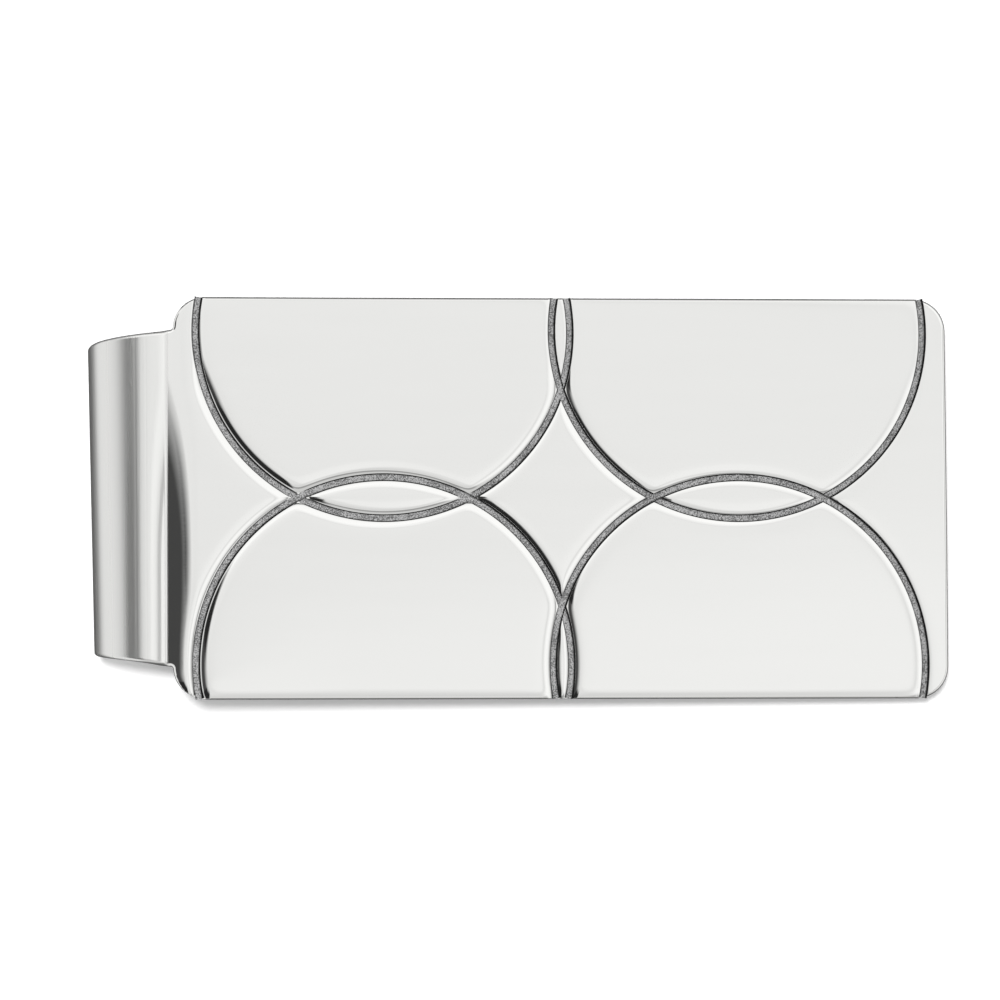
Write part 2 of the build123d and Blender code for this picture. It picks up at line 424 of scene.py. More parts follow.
def plate_outline(shape, spacing):
    """Half the plate's outline, from the neck's end round to the middle of the open end, as
    points in length and width and the outward direction at each. Length is measured like X.

    It is the neck's edge, the inner corner that touches it and the shoulder's arc, the shoulder,
    the long edge, the open end's arc and the open end."""
    strip = shape.strip
    radius, fillet = strip.plate_corner, strip.shoulder_fillet
    wide, neck = strip.plate_width / 2, strip.neck_width / 2
    end, start = shape.plate_end, shape.plate_end - shape.shoulder
    near, far = np.array([start + radius, wide - radius]), np.array([end - radius, wide - radius])
    rise = neck + fillet - near[1]
    inner = np.array([near[0] - math.sqrt((radius + fillet) ** 2 - rise**2), neck + fillet])
    lean = math.atan2(*(inner - near)[::-1])

    def arc(centre, size, first, last, facing):
        angles = np.linspace(first, last, max(12, int(abs(last - first) * size / spacing) + 2))
        away = np.stack([np.cos(angles), np.sin(angles)], -1)
        return centre + away * size, away * facing

    def edge(first, last, outward):
        steps = np.linspace(0, 1, max(2, int(math.dist(first, last) / spacing) + 2))[:, None]
        points = np.array(first) * (1 - steps) + np.array(last) * steps
        return points, np.tile(np.array(outward, float), (len(points), 1))

    neck_end = shape.plate_end - shape.at["crease"]
    parts = [
        edge((neck_end, neck), (inner[0], neck), (0, 1)),
        arc(inner, fillet, -math.pi / 2, lean - math.pi, -1),
        arc(near, radius, lean, math.pi / 2, 1),
        edge((near[0], wide), (far[0], wide), (0, 1)),
        arc(far, radius, math.pi / 2, 0, 1),
        edge((end, far[1]), (end, 0), (1, 0)),
    ]
    points = np.concatenate([part[0] for part in parts])
    outward = np.concatenate([part[1] for part in parts])
    new = np.concatenate([[True], np.linalg.norm(np.diff(points, axis=0), axis=1) > 1e-7])
    return points[new], outward[new], SimpleNamespace(near=near, far=far, inner=inner, lean=lean)


def edge_distance(shape, corners, x, y):
    """How far inside the plate's outline a point is, and the direction of the nearest edge. It
    is the least of the distances to the straight edges, the arcs and the inner corner."""
    strip = shape.strip
    side, v = np.where(y < 0, -1.0, 1.0), np.abs(y)
    best = shape.plate_end - x
    out_x, out_y = np.ones_like(x), np.zeros_like(x)

    def nearer(distance, dx, dy, where):
        nonlocal best, out_x, out_y
        take = where & (distance < best)
        best = np.where(take, distance, best)
        out_x, out_y = np.where(take, dx, out_x), np.where(take, dy, out_y)

    nearer(strip.plate_width / 2 - v, 0.0, 1.0, x > corners.near[0])
    to_inner = np.stack([np.maximum(x - corners.inner[0], 0), np.minimum(v - corners.inner[1], 0)])
    gap = np.maximum(np.hypot(*to_inner), 1e-12)
    line = corners.inner - corners.near
    above = line[0] * (v - corners.near[1]) - line[1] * (x - corners.near[0]) < 0
    left = x < corners.near[0]
    nearer(gap - strip.shoulder_fillet, -to_inner[0] / gap, -to_inner[1] / gap, left & ~above)
    for centre, where in ((corners.near, left & above), (corners.far, x > corners.far[0])):
        dx, dy = x - centre[0], v - centre[1]
        reach = np.maximum(np.hypot(dx, dy), 1e-12)
        where = where & (dy > 0)
        inside = strip.plate_corner - reach
        best = np.where(where, inside, best)
        out_x, out_y = np.where(where, dx / reach, out_x), np.where(where, dy / reach, out_y)
    return best, out_x, out_y * side


def circle_centres(shape, engraving):
    """Centres of the four circles, upper left, upper right, lower left and lower right."""
    middle = shape.plate_end - engraving.pattern_from_end
    x, y = engraving.half_spacing_x, engraving.half_spacing_y
    return np.array([[middle - x, y], [middle + x, y], [middle - x, -y], [middle + x, -y]])


def groove_height(shape, engraving, x, y):
    """Height of the engraved face over the flat one, never above 0. The rims sink towards each
    groove by two fading exponentials, a short steep one and a long soft one, and inside the rims
    a straight wall goes down to the floor. The lowest of the four grooves counts."""
    rim, floor = engraving.groove_width / 2, engraving.floor_width / 2
    share = np.clip(x / shape.plate_end, 0, 1)
    softness = (engraving.soft_left, engraving.soft_middle, engraving.soft_right)
    soft = np.interp(share, SOFTNESS_AT, softness)
    soft = soft * (1 - engraving.crisp_upper * smooth_step(*CRISP_BAND, y))
    steep = (engraving.rim_slope, engraving.rim_reach)
    buffing = (steep, (engraving.sweep_slope, engraving.sweep_reach))
    sunk, wall = np.zeros_like(x), np.zeros_like(x)
    for cx, cy in circle_centres(shape, engraving):
        away = np.abs(np.hypot(x - cx, y - cy) - engraving.circle_radius)
        past = np.maximum(away - rim, 0)
        for slope, reach in buffing:
            sunk = sunk + slope * reach * soft * np.exp(-past / reach)
        inside = np.clip((rim - away) / (rim - floor), 0, 1)
        wall = np.maximum(wall, inside)
    return np.minimum(-sunk * (1 - wall) - engraving.groove_depth * wall, 0)


def face_height(shape, engraving, corners, x, y):
    """Height of the plate's face over a flat one: the groove's height, less a fall towards the
    rounded corners beside the fold, which fades exponentially with the distance inside. It stays
    a little above the foot of the edge rounding."""
    strip = shape.strip
    gap, out_x, out_y = edge_distance(shape, corners, x, y)
    facing = smooth_step(*CORNER_FACING, (np.abs(out_y) - out_x) * math.sqrt(0.5))
    facing = facing * smooth_step(0, CORNER_GROWTH, np.abs(y) - corners.inner[1])
    facing = facing * np.where(y > 0, strip.corner_upper, 1.0) * strip.corner_slope
    fall = facing * strip.corner_reach * np.exp(-np.maximum(gap, 0) / strip.corner_reach)
    return np.maximum(groove_height(shape, engraving, x, y) - fall, -0.95 * strip.edge_rounding)


def triangulate(points, edges, outside):
    """Constrained Delaunay triangles of plan points, in millimetres, that keep the given edges.
    The triangles that closed rows enclose stay, unless the middle of one passes the outside
    test, and they turn anticlockwise."""
    flat = [Vector(p) for p in (points / MM).tolist()]
    made = delaunay_2d_cdt(flat, edges.tolist(), [], 1, 1e-6)
    spots = np.array([p[:] for p in made[0]]) * MM
    faces = np.array(made[2])
    faces = faces[~outside(*spots[faces].mean(1).T)]
    a, b, c = spots[faces[:, 0]], spots[faces[:, 1]], spots[faces[:, 2]]
    area = (b[:, 0] - a[:, 0]) * (c[:, 1] - a[:, 1]) - (b[:, 1] - a[:, 1]) * (c[:, 0] - a[:, 0])
    real = np.abs(area) > SLIVER_AREA
    faces, area = faces[real], area[real]
    faces[area < 0] = faces[area < 0][:, ::-1]
    used, faces = np.unique(faces, return_inverse=True)
    return spots[used], faces.reshape(-1, 3)


def boundary_loop(faces):
    """The points round the edge of a triangle mesh in order: an edge that only one triangle has
    is on the boundary, and each point's next is found by following those edges."""
    edges = np.concatenate([faces[:, [0, 1]], faces[:, [1, 2]], faces[:, [2, 0]]])
    base = faces.max() + 1
    forward, backward = edges[:, 0] * base + edges[:, 1], edges[:, 1] * base + edges[:, 0]
    alone = edges[~np.isin(forward, backward)]
    after = np.full(base, -1)
    after[alone[:, 0]] = alone[:, 1]
    loop = [int(alone[0, 0])]
    while after[loop[-1]] != loop[0]:
        loop.append(int(after[loop[-1]]))
    return np.array(loop)


def rows_to_edges(rows, first=0):
    """All the rows' points in one array, and the edges between neighbours in each row."""
    counts = [len(row) for row in rows]
    starts = first + np.concatenate([[0], np.cumsum(counts)[:-1]]).astype(int)
    edges = [np.stack([np.arange(n - 1), np.arange(1, n)], -1) + s for n, s in zip(counts, starts)]
    return np.concatenate(rows), np.concatenate(edges)


def plate_rows(shape, spacing=0.3 * MM):
    """Rows that follow the plate's outline at steps inwards, close together where the edge is
    rounded, and the straight end of the neck."""
    outline, outward, corners = plate_outline(shape, spacing)
    rows = [outline - outward * step for step in EDGE_STEPS]
    whole = [np.concatenate([row, (row * (1, -1))[-2::-1]]) for row in rows]
    neck = np.linspace(1, -1, 40)[:, None] * (0, shape.strip.neck_width / 2)
    return whole + [neck + (outline[0, 0], 0)], corners


def groove_rows(shape, engraving, spacing=0.22 * MM):
    """Rows that follow each circle on both sides of its groove, close together on the walls and
    the rims and wider on the soft sweep, as runs of points that lie on the plate."""
    angles = np.linspace(0, 2 * math.pi, int(2 * math.pi * engraving.circle_radius / spacing))
    ray = np.stack([np.cos(angles), np.sin(angles)], -1)
    rows = []
    for centre in circle_centres(shape, engraving):
        for step in np.concatenate([-GROOVE_STEPS[::-1], GROOVE_STEPS]):
            row = centre + ray * (engraving.circle_radius + step)
            keep = np.abs(row[:, 1]) < shape.strip.plate_width / 2 + spacing
            keep &= row[:, 0] > shape.plate_end - shape.at["crease"] + 0.3 * MM
            breaks = np.flatnonzero(np.diff(keep.astype(int))) + 1
            runs = [run for run in np.split(np.arange(len(row)), breaks) if keep[run[0]]]
            rows += [row[run] for run in runs if len(run) > 2]
    return rows


def free_points(shape, engraving):
    """Loose points between the rows, for the back and for the face: a grid over the plate and a
    closer one over its roll-down. The face's keep clear of the grooves' rows."""
    grid_step, roll_step, roll_length = 1.4 * MM, 0.2 * MM, 3.2 * MM
    clear, clear_on_roll = 1.7 * MM, 0.9 * MM
    strip, neck_end = shape.strip, shape.plate_end - shape.at["crease"]
    x = np.arange(neck_end + 0.6 * MM, shape.plate_end - 0.9 * MM, grid_step)
    y = np.arange(-strip.plate_width / 2 + 1.1 * MM, strip.plate_width / 2 - 1 * MM, grid_step)
    roll_x = np.arange(neck_end + roll_step, neck_end + roll_length, roll_step)
    roll_y = np.linspace(-0.97, 0.97, 34) * strip.neck_width / 2
    lines = (x, y), (roll_x, roll_y)
    free = np.concatenate([np.stack(np.meshgrid(*pair), -1).reshape(-1, 2) for pair in lines])
    centres = circle_centres(shape, engraving)
    reach = [np.hypot(*(free - centre).T) - engraving.circle_radius for centre in centres]
    away = np.min(np.abs(reach), 0)
    on_roll = free[:, 0] < neck_end + roll_length
    return free, free[(away > clear) | ((away > clear_on_roll) & on_roll)]


def build_plate(shape, engraving, material):
    """The engraved plate: its face and back are triangle meshes over the plan, bent to the
    strip's shape, and a wall joins their boundaries.

    The face's height is the lower of the engraved height and the edge rounding, a quarter circle
    of the distance from the outline. The back has the edge rounding only."""
    strip, half = shape.strip, shape.half
    rows, corners = plate_rows(shape)

    def outside(x, y):
        return edge_distance(shape, corners, x, y)[0] < -0.002 * MM

    def surface(plan, engraved):
        x, y = plan[:, 0], plan[:, 1]
        gap, out_x, out_y = edge_distance(shape, corners, x, y)
        lean = np.clip(1 - gap / strip.edge_rounding, 0, 1)
        height = strip.edge_rounding * (np.sqrt(1 - lean**2) - 1)
        side = 1 if engraved else -1
        along = shape.plate_end - x
        ahead, aside, outward = axes_at(shape, along, y, side * half)
        straight = np.sqrt(1 - lean**2)[:, None]
        leaning = -ahead * (out_x * lean)[:, None] + aside * (out_y * lean)[:, None]
        normals = side * outward * straight + leaning
        if engraved:
            step = 0.004 * MM
            groove, east, west, north, south = (
                face_height(shape, engraving, corners, x + dx * step, y + dy * step)
                for dx, dy in ((0, 0), (1, 0), (-1, 0), (0, 1), (0, -1))
            )
            slope_x, slope_y = (east - west) / (2 * step), (north - south) / (2 * step)
            carved = outward + ahead * slope_x[:, None] - aside * slope_y[:, None]
            carved /= np.linalg.norm(carved, axis=1, keepdims=True)
            deeper = groove < height
            normals = np.where(deeper[:, None], carved, normals)
            height = np.minimum(groove, height)
        return place(shape, along, y, side * (half + height)), normals

    free, free_top = free_points(shape, engraving)
    points, edges = rows_to_edges(rows + groove_rows(shape, engraving))
    face_plan, face = triangulate(np.concatenate([points, free_top]), edges, outside)
    loop = boundary_loop(face)
    rim = face_plan[loop]

    rows[0] = np.concatenate([rim, rim[:1]])
    points, edges = rows_to_edges(rows[:-1])
    back_plan, back = triangulate(np.concatenate([points, free]), edges, outside)
    back_loop = boundary_loop(back)
    order = np.argmin(np.abs(back_plan[back_loop] @ (1, 1j) - rim[0] @ (1, 1j)))
    back_loop = np.roll(back_loop, -order)
    if len(back_loop) != len(loop) or np.abs(back_plan[back_loop] - rim).max() > 1e-8:
        raise RuntimeError(f"the plate's face and back differ: {len(loop)}, {len(back_loop)}")

    face_points, face_normals = surface(face_plan, True)
    back_points, back_normals = surface(back_plan, False)
    shift = len(face_points)
    under = back_loop + shift
    wall = np.stack([loop, under, np.roll(under, -1), np.roll(loop, -1)], -1)
    faces = face.tolist() + (back[:, ::-1] + shift).tolist() + wall.tolist()
    points = np.concatenate([face_points, back_points])
    normals = np.concatenate([face_normals, back_normals])
    return make_piece("face_plate_skin", points, faces, material, normals)


# ---- Materials ----


def add(tree, kind, links=None, **settings):
    """Adds a shader node, sets its properties and unlinked sockets, and links its inputs."""
    node = tree.nodes.new("ShaderNode" + kind)
    for name, value in settings.items():
        if hasattr(node, name):
            setattr(node, name, value)
        else:
            node.inputs[name.replace("_", " ")].default_value = value
    for socket, source in (links or {}).items():
        tree.links.new(source, node.inputs[socket])
    return node


def new_material(name):
    """An empty node material, its tree and its object coordinates."""
    material = bpy.data.materials.new(name)
    material.use_nodes = True
    tree = material.node_tree
    tree.nodes.clear()
    return material, tree, add(tree, "TexCoord").outputs["Object"]


def rgba(value):
    """A colour with full alpha."""
    return (*value, 1.0)


def plated_metal(
    name, finish, roughness, brushing, stretch, duller=1.0, dull_from=0, dull_to=0, haze=0.0
):
    """Bright nickel and silver plating, buffed on a wheel: a clean, almost white mirror. The
    wheel's hairlines run the way the pattern is stretched, and streaks of them are a little
    duller, which takes the hard edge off what the metal reflects. Bending stretches the plating
    on the outside of the fold to a satin, so its roughness can grow that many times between two
    places in X, and fine cracks give a share of haze that lifts the darkest reflections.

    Hairlines are about 0.1 mm apart and the duller streaks about 1 mm."""
    material, tree, place_on = new_material(name)
    lines = {"Vector": add(tree, "Mapping", {"Vector": place_on}, Scale=stretch).outputs[0]}
    hairlines = add(tree, "TexNoise", lines, Scale=9000, Detail=2, Roughness=0.6)
    clouds = {"Value": add(tree, "TexNoise", lines, Scale=900, Detail=4).outputs["Fac"]}
    dull, tint = (
        add(tree, "MapRange", clouds, From_Min=low, From_Max=high, To_Min=least, To_Max=most)
        for low, high, least, most in (
            (0.3, 0.7, roughness * 0.7, roughness * 1.3),
            (0.2, 0.8, 0.985, 1.0),
        )
    )
    base = add(tree, "VectorMath", {"Scale": tint.outputs[0]}, operation="SCALE")
    base.inputs[0].default_value = finish.plating
    bump = add(
        tree, "Bump", {"Height": hairlines.outputs["Fac"]}, Distance=brushing, Strength=1
    )
    look = {"Base Color": base.outputs[0], "Normal": bump.outputs[0]}
    rough = dull.outputs[0]
    if duller != 1:
        along = {"Value": add(tree, "SeparateXYZ", {0: place_on}).outputs["X"]}
        ends = {"From_Min": dull_from, "From_Max": dull_to, "To_Min": 1.0, "To_Max": duller}
        times = add(tree, "MapRange", along, **ends).outputs[0]
        rough = add(tree, "Math", {0: rough, 1: times}, operation="MULTIPLY").outputs[0]
    shader = add(tree, "BsdfPrincipled", {**look, "Roughness": rough}, Metallic=1.0)
    if haze:
        broad = add(tree, "BsdfPrincipled", look, Metallic=1.0, Roughness=0.45)
        shader = add(tree, "MixShader", {1: shader.outputs[0], 2: broad.outputs[0]})
        shader.inputs[0].default_value = haze
    add(tree, "OutputMaterial", {"Surface": shader.outputs[0]})
    return material


def antique_finish(name, finish):
    """Dark antiquing left in the grooves after buffing: a dry, matt grey with grains of about
    0.04 mm, drawn twice as coarse as they are so that they show, and lighter and darker patches
    of about 1 mm. On the grooves' walls, as much as the points' attribute says, it is painted
    nearly black: painted shade, lighter on the walls that face the light."""
    material, tree, place_on = new_material(name)
    grains = add(tree, "TexNoise", {"Vector": place_on}, Scale=13000, Detail=3).outputs["Fac"]
    patches = add(tree, "TexNoise", {"Vector": place_on}, Scale=900, Detail=2).outputs["Fac"]
    both = add(tree, "Math", {0: patches, 2: grains}, operation="MULTIPLY_ADD")
    both.inputs[1].default_value = 0.25
    spread = add(tree, "MapRange", {"Value": both.outputs[0]}, From_Min=0.53, From_Max=0.72)
    mixed = add(tree, "Mix", {"Factor": spread.outputs[0]}, data_type="RGBA")
    mixed.inputs[6].default_value = rgba(finish.groove_dark)
    mixed.inputs[7].default_value = rgba(finish.groove)
    # Painted shade: the attribute turns the grains nearly black on the grooves' walls.
    wall_shade = add(tree, "Attribute", attribute_name=PAINTED_WALL_SHADE).outputs["Fac"]
    shaded_walls = add(tree, "Mix", {"Factor": wall_shade, 6: mixed.outputs[2]}, data_type="RGBA")
    shaded_walls.inputs[7].default_value = rgba(finish.wall_shade_colour)
    bump = add(tree, "Bump", {"Height": grains}, Distance=0.02 * MM, Strength=1)
    look = {"Base Color": shaded_walls.outputs[2], "Normal": bump.outputs[0]}
    shader = add(tree, "BsdfPrincipled", look, Roughness=0.75, Specular_IOR_Level=0.3)
    add(tree, "OutputMaterial", {"Surface": shader.outputs[0]})
    return material


def paper_floor(name, finish):
    """A sheet of bright white backdrop paper with fibres about 2.5 mm long, lit through from
    below like a light table, so that only the clip's closest shadow shows on it. Further off it
    is lit more, up to the backdrop."""
    material, tree, place_on = new_material(name)
    away = {"Value": add(tree, "VectorMath", {0: place_on}, operation="LENGTH").outputs["Value"]}
    glow = add(tree, "MapRange", away, From_Min=0.1, From_Max=0.6, To_Min=0.12, To_Max=0.7)
    fibres = add(tree, "TexNoise", {"Vector": place_on}, Scale=400, Detail=3).outputs["Fac"]
    bump = add(tree, "Bump", {"Height": fibres}, Distance=0.01 * MM, Strength=1)
    white = rgba(finish.floor)
    lit = {"Normal": bump.outputs[0], "Emission Strength": glow.outputs[0]}
    look = {"Base_Color": white, "Roughness": 0.9, "Emission_Color": white}
    shader = add(tree, "BsdfPrincipled", lit, **look)
    add(tree, "OutputMaterial", {"Surface": shader.outputs[0]})
    return material


# ---- Pieces ----


class CLIP_OT_face_plate(bpy.types.Operator):
    """Builds the engraved face plate, with its rims buffed soft"""

    bl_idname = "money_clip.face_plate"
    bl_label = "Face Plate"

    def execute(self, context):
        scene = context.scene
        shape = strip_shape(scene.clip_strip)
        metal = plated_metal(
            "plating_buffed_mirror", scene.clip_finish,
            roughness=0.06, brushing=0.0003 * MM, stretch=LENGTHWISE,
        )  # fmt: skip
        piece = build_plate(shape, scene.clip_engraving, metal)
        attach(piece, PLATE_SIDE)
        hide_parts("face_plate")
        return {"FINISHED"}


class CLIP_OT_spring_fold(bpy.types.Operator):
    """Builds the fold that springs, from the crease to the leaf"""

    bl_idname = "money_clip.spring_fold"
    bl_label = "Spring Fold"

    def execute(self, context):
        scene = context.scene
        shape = strip_shape(scene.clip_strip)
        at = shape.at
        steps = int((at["leaf"] - at["crease"]) / (0.05 * MM))
        along = np.linspace(at["crease"], at["leaf"], steps)
        shares = section(8, 48)
        half_width = fold_half_width(shape, along)
        points, across, out = strip_tube(shape, along, half_width, 0 * along, shares)
        ahead, aside, outward = axes_at(shape, along[:, None], across, out)
        narrowing = (half_width[0] - half_width[-1]) / (along[-1] - along[0])
        sideways, upward = shares[2][:, None], shares[3][:, None]
        normals = aside * sideways + ahead * np.abs(sideways) * narrowing + outward * upward
        normals /= np.linalg.norm(normals, axis=-1, keepdims=True)
        left = shape.origin[0]
        metal = plated_metal(
            "plating_bent_satin", scene.clip_finish,
            roughness=0.08, brushing=0.002 * MM, stretch=CROSSWISE,
            duller=3.2, dull_from=left + 0.6 * MM, dull_to=left - 0.4 * MM, haze=0.42,
        )  # fmt: skip
        faces = tube_faces(len(along), shares.shape[1])
        piece = make_piece("spring_fold_skin", points, faces, metal, normals)

        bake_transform(piece)
        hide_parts("spring_fold")
        return {"FINISHED"}


class CLIP_OT_back_leaf(bpy.types.Operator):
    """Builds the leaf under the plate, with its knee and its flared lip"""

    bl_idname = "money_clip.back_leaf"
    bl_label = "Back Leaf"

    def execute(self, context):
        scene = context.scene
        strip = scene.clip_strip
        shape = strip_shape(strip)
        at, corner, tip = shape.at, strip.leaf_corner, strip.tip_rounding
        sweep = np.linspace(0, math.pi / 2, 60)
        to_knee = np.linspace(at["leaf"], at["knee_rise"], 60)[:-1]
        to_corner = np.linspace(at["knee_rise"], at["end"] - corner, 50)[:-1]
        round_end = at["end"] - corner + corner * np.sin(sweep)
        along = np.concatenate([to_knee, to_corner, round_end])
        widths = (strip.leaf_start_width / 2, strip.leaf_tip_width / 2)
        half_width = np.interp(along, (at["leaf"], at["end"]), widths)
        left = np.clip((along - at["end"]) / corner + 1, 0, 1)
        half_width = half_width - corner * (1 - np.sqrt(1 - left**2))
        close = np.clip((along - at["end"]) / tip + 1, 0, 1)
        inset = tip * (1 - np.sqrt(1 - close**2))
        shares = section(6, 24)
        points, _, _ = strip_tube(shape, along, half_width, inset, shares)
        metal = plated_metal(
            "plating_leaf_mirror", scene.clip_finish,
            roughness=0.1, brushing=0.0005 * MM, stretch=LENGTHWISE,
        )  # fmt: skip
        faces = tube_faces(len(along), shares.shape[1])
        piece = make_piece("back_leaf_skin", points, faces, metal)
        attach(piece, LEAF_SIDE)
        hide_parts("back_leaf", "leaf_lip")
        return {"FINISHED"}


class CLIP_OT_groove_finish(bpy.types.Operator):
    """Builds the grainy dark finish on the floor of each engraved circle"""

    bl_idname = "money_clip.groove_finish"
    bl_label = "Groove Finish"

    def execute(self, context):
        scene = context.scene
        strip, engraving = scene.clip_strip, scene.clip_engraving
        shape = strip_shape(strip)
        finish = antique_finish("antique_matt_grain", scene.clip_finish)
        names = ("upper_left", "upper_right", "lower_left", "lower_right")
        random = np.random.default_rng(7)
        radius, rim = engraving.circle_radius, engraving.finish_width / 2
        floor = engraving.floor_width / 2
        wall = np.linspace(floor, rim, 4)
        across = np.concatenate([-wall[:0:-1], np.linspace(-floor, floor, 9), wall[1:]])
        reach = strip.plate_width / 2 - engraving.half_spacing_y - FINISH_GAP
        spread = math.asin(reach / radius)
        for index, (name, centre) in enumerate(zip(names, circle_centres(shape, engraving))):
            facing = math.copysign(1, centre[1])
            angles = np.linspace(spread, -math.pi - spread, 620) * facing
            angles = angles if facing > 0 else angles[::-1]
            x = centre[0] + (radius + across) * np.cos(angles)[:, None]
            y = centre[1] + (radius + across) * np.sin(angles)[:, None]
            metal = groove_height(shape, engraving, x, y)
            # Painted shade on the walls: nearly black where the metal rises from the groove's
            # floor, lighter by up to 0.45 on the walls that face the light, and spread onto the
            # floor's edge beside the walls turned from it.
            risen = smooth_step(0, 0.012 * MM, metal + engraving.groove_depth)
            leeward = -np.sign(across) * np.cos(angles)[:, None]
            shade = risen * (1 - 0.45 * smooth_step(0.2, 0.8, leeward))
            floor_edge_shade = smooth_step(floor - 0.07 * MM, floor - 0.01 * MM, np.abs(across))
            shade = np.maximum(shade, floor_edge_shade * smooth_step(0.1, 0.6, -leeward))
            grain = random.uniform(-0.5, 0.5, x.shape) * engraving.grain_height * (1 - risen)
            top = metal + engraving.finish_height + (index - 1.5) * FINISH_LAYER + grain
            x, y = (np.concatenate([v[:, ::-1], v], 1) for v in (x, y))
            height = np.concatenate([top[:, ::-1], metal - FINISH_SUNK], 1)
            points = place(shape, shape.plate_end - x, y, shape.half + height)
            faces = tube_faces(*height.shape)
            piece = make_piece(f"groove_finish_skin_{name}", points, faces, finish)
            # The painted wall shade goes onto the points, for the material to read.
            wall_shade = piece.data.attributes.new(PAINTED_WALL_SHADE, "FLOAT", "POINT")
            wall_shade.data.foreach_set("value", np.concatenate([shade[:, ::-1], shade], 1).ravel())
            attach(piece, PLATE_SIDE)
            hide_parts(f"groove_finish_{name}")
        return {"FINISHED"}


# ---- Stage ----

# Brightness of the studio by how far a direction leans from straight up, as the tangent of half
# the lean: the dark panel on the fold's side as the fold sees it straight on and as the groove's
# rims see it from either side of that, then the open end's side, its upper corner, and the upper
# and lower long sides.
DARK_SIDE = [
    (0, 0.83), (0.03, 0.74), (0.05, 0.64), (0.085, 0.43), (0.13, 0.2), (0.17, 0.06),
    (0.36, 0.06), (0.45, 0.75), (0.6, 0.85), (0.8, 0.85), (1.3, 0.88), (1.6, 0.55),
    (1.85, 0.15), (2.9, 0.05),
]  # fmt: skip
STREAK_SIDE = [
    (0, 0.83), (0.03, 0.8), (0.06, 0.68), (0.09, 0.3), (0.12, 0.02), (0.4, 0.02), (0.48, 0.7),
    (0.6, 0.85), (0.8, 0.85), (1.3, 0.88), (1.6, 0.55), (1.85, 0.15), (2.9, 0.05),
]  # fmt: skip
LIGHT_SIDE = [
    (0, 0.83), (0.03, 0.885), (0.05, 0.92), (0.08, 0.94), (0.115, 0.96), (0.135, 0.95),
    (0.147, 0.8), (0.158, 0.8), (0.172, 0.94), (0.22, 1.06), (0.32, 1.0), (0.42, 0.8),
    (0.48, 0.42), (0.57, 0.42), (0.64, 1.1), (0.84, 1.1), (1.0, 0.6), (1.3, 0.25),
    (2.9, 0.15),
]  # fmt: skip
CORNER_SIDE = [
    (0, 0.83), (0.05, 0.865), (0.08, 0.885), (0.115, 0.9), (0.14, 0.9), (0.15, 0.84),
    (0.165, 0.95), (0.22, 1.08), (0.7, 1.05), (0.9, 0.6), (1.3, 0.2), (2.9, 0.15),
]  # fmt: skip
UPPER_SIDE = [
    (0, 0.83), (0.03, 0.86), (0.05, 0.885), (0.1, 0.9), (0.2, 0.97), (0.3, 1.1), (0.5, 1.05),
    (0.69, 0.93), (0.75, 0.05), (0.85, 0.05), (0.89, 0.8), (1.03, 0.8), (1.09, 0.05),
    (2.9, 0.03),
]  # fmt: skip
LOWER_SIDE = [
    (0, 0.83), (0.1, 0.82), (0.17, 0.72), (0.21, 0.8), (0.25, 0.35), (0.31, 0.35),
    (0.38, 0.66), (1.0, 0.66), (1.2, 0.14), (2.9, 0.1),
]  # fmt: skip
# The middle of each side in degrees from X towards Y, and the cosines of the turns away from it
# at which the side begins and is whole. Each lies over the ones before it, and all lie over the
# upper side.
SIDES = (
    (LOWER_SIDE, 270, -0.3, 0.3),
    (LIGHT_SIDE, 10, 0.4, 0.8),
    (CORNER_SIDE, 45, 0.78, 0.95),
    (STREAK_SIDE, 198, 0.44, 0.6),
    (DARK_SIDE, 181, 0.945, 0.97),
)
# The lean at the ramps' far end. A colour ramp holds no value over 1, so the ramps hold half and
# the background doubles it.
RAMP_REACH = 3.0
RAMP_SCALE = 0.5
# Where the light hangs, in metres, and how far under the clip the floor lies.
LIGHT_PLACE = (-0.045, 0.03, 0.95)
FLOOR_DROP = 0.02 * MM


